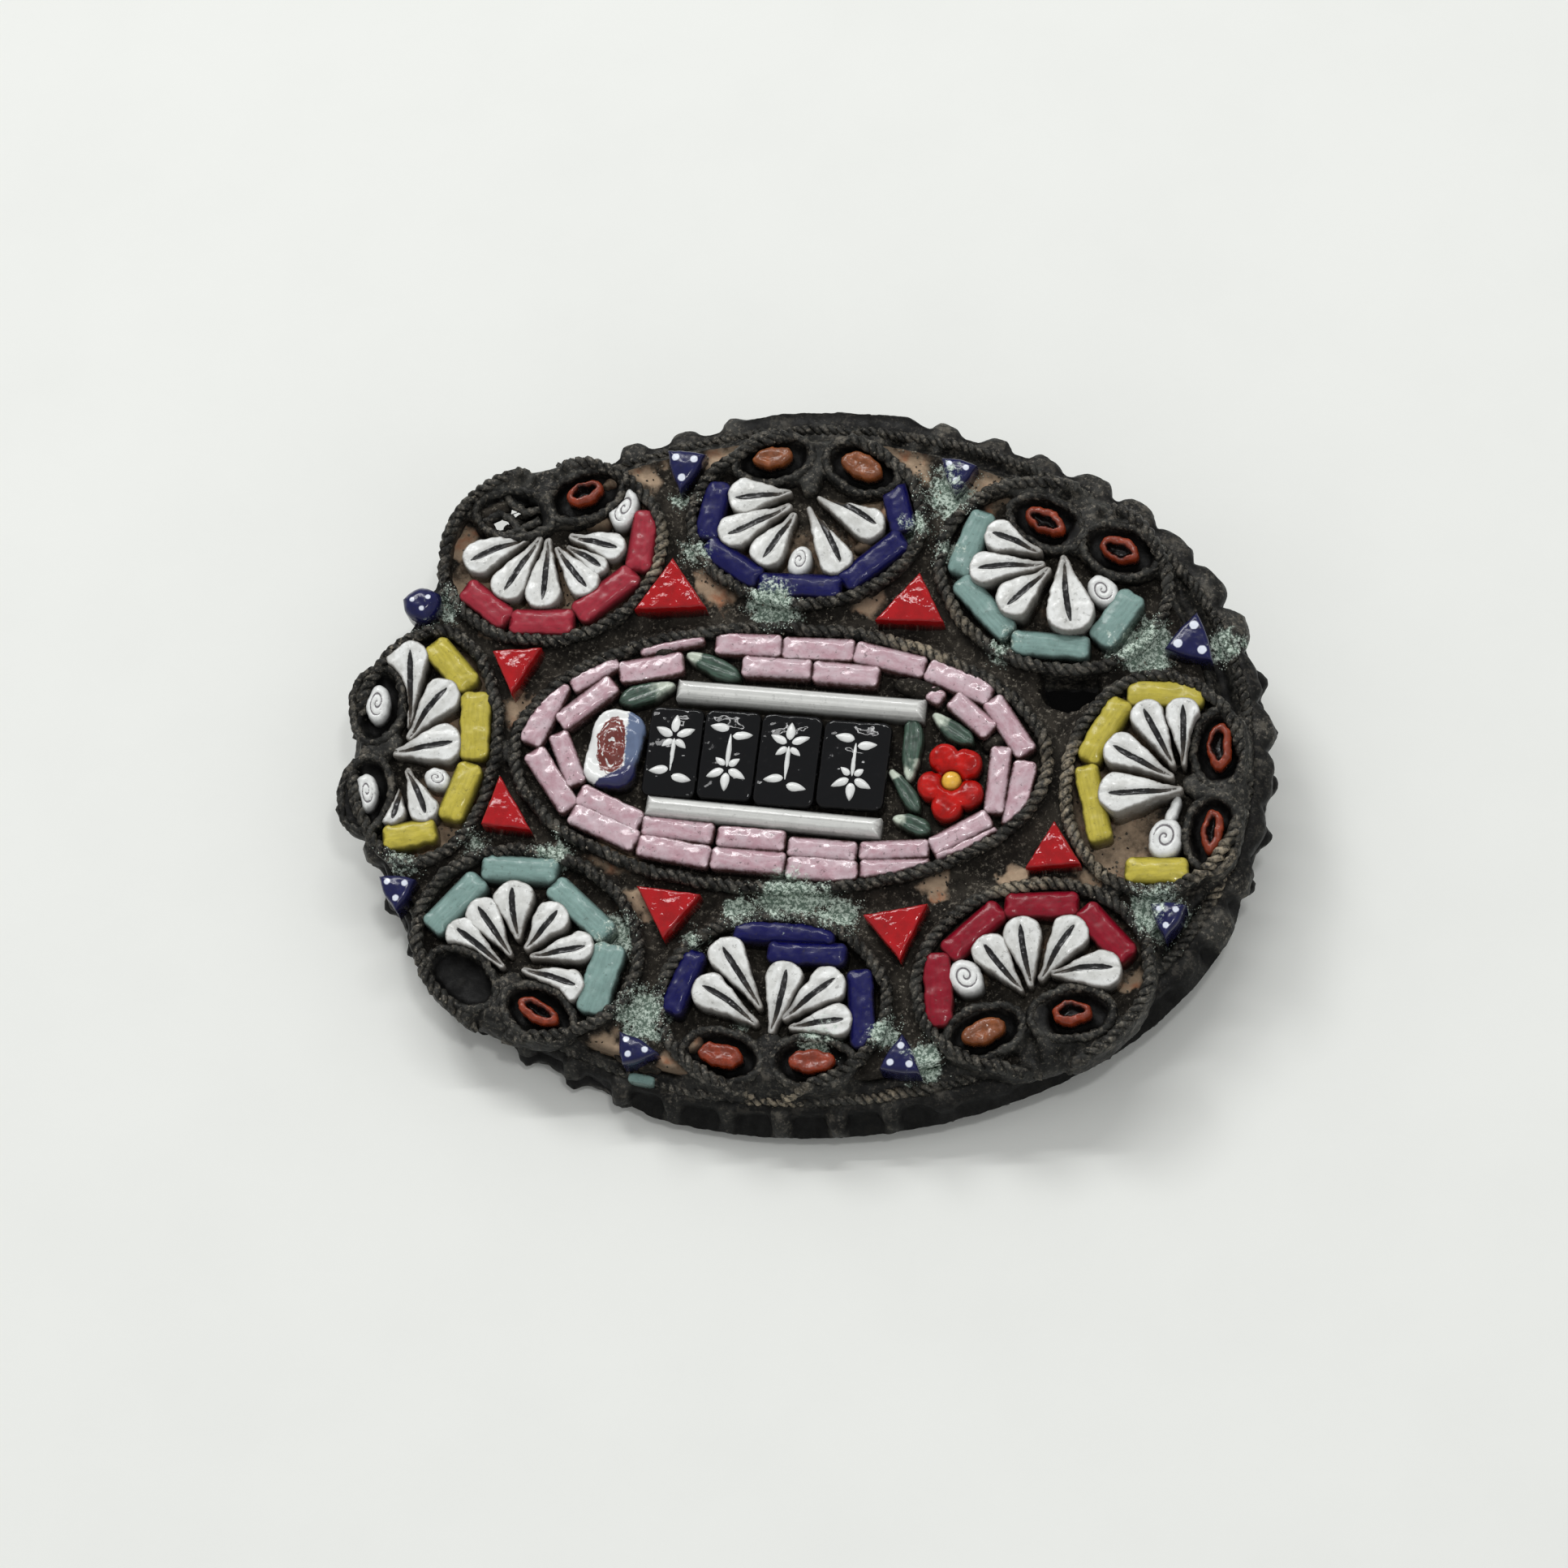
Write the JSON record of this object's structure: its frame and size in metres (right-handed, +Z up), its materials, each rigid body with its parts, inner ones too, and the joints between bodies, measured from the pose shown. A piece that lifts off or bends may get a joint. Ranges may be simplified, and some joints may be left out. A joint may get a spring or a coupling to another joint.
{
  "type": "micromosaic brooch",
  "caption": "Oval brooch of glass micromosaic in twisted-wire cells on a toothed brass plate, with a pin and a rolled catch underneath.",
  "frame": {"origin": "centre of the brooch's box, at the table top that it lies on", "axes": "+X along the brooch's long way, +Z up from the table; the mosaic faces up and leans a little to -Y, because the pin's hinge and catch hold up the other side"},
  "size_m": [0.04, 0.0324, 0.0085],
  "materials": {
    "tarnished_brass": "tarnished, rough",
    "pin_metal": "dull, worn",
    "cement": "matt, gritty",
    "petal_glass": "satin, opaque",
    "rod_glass": "glossy, opaque",
    "red_glass": "glossy, opaque",
    "blue_glass": "glossy, opaque",
    "coral_glass": "worn, opaque",
    "white_glass": "streaked, opaque",
    "black_glass": "glossy, opaque",
    "marbled_glass": "marbled, opaque",
    "orange_glass": "glossy, opaque",
    "yellow_glass": "glossy, opaque",
    "pink_glass": "satin, opaque",
    "green_glass": "satin, opaque",
    "bud_glass": "satin, opaque"
  },
  "bodies": {
    "root": {"setting": "tarnished_brass", "pin_and_catch": "pin_metal", "cement_bed": "cement", "petals_upper_left": "petal_glass", "rods_upper_left": "rod_glass", "petals_upper": "petal_glass", "rods_upper": "rod_glass", "petals_upper_right": "petal_glass", "rods_upper_right": "rod_glass", "petals_right": "petal_glass", "rods_right": "rod_glass", "petals_lower_right": "petal_glass", "rods_lower_right": "rod_glass", "petals_lower": "petal_glass", "rods_lower": "rod_glass", "petals_lower_left": "petal_glass", "rods_lower_left": "rod_glass", "petals_left": "petal_glass", "rods_left": "rod_glass", "red_triangle_1": "red_glass", "red_triangle_2": "red_glass", "red_triangle_3": "red_glass", "red_triangle_4": "red_glass", "red_triangle_5": "red_glass", "red_triangle_6": "red_glass", "red_triangle_7": "red_glass", "blue_triangle_1": "blue_glass", "blue_triangle_2": "blue_glass", "blue_triangle_3": "blue_glass", "blue_triangle_4": "blue_glass", "blue_triangle_5": "blue_glass", "blue_triangle_6": "blue_glass", "blue_triangle_7": "blue_glass", "blue_triangle_8": "blue_glass", "bead_1": "coral_glass", "bead_2": "coral_glass", "bead_3": "coral_glass", "bead_4": "coral_glass", "bead_5": "coral_glass", "bead_6": "coral_glass", "bead_7": "coral_glass", "bead_8": "coral_glass", "bead_9": "coral_glass", "bead_10": "coral_glass", "bead_11": "coral_glass", "bead_12": "coral_glass", "white_bar_upper": "white_glass", "white_bar_lower": "white_glass", "black_tile_1": "black_glass", "black_tile_2": "black_glass", "black_tile_3": "black_glass", "black_tile_4": "black_glass", "swirl_flower": "marbled_glass", "red_flower": "orange_glass", "flower_centre": "yellow_glass", "pink_outer_row": "pink_glass", "pink_inner_row": "pink_glass", "leaves": "green_glass", "spiral_buds": "bud_glass"}
  },
  "joints": []
}
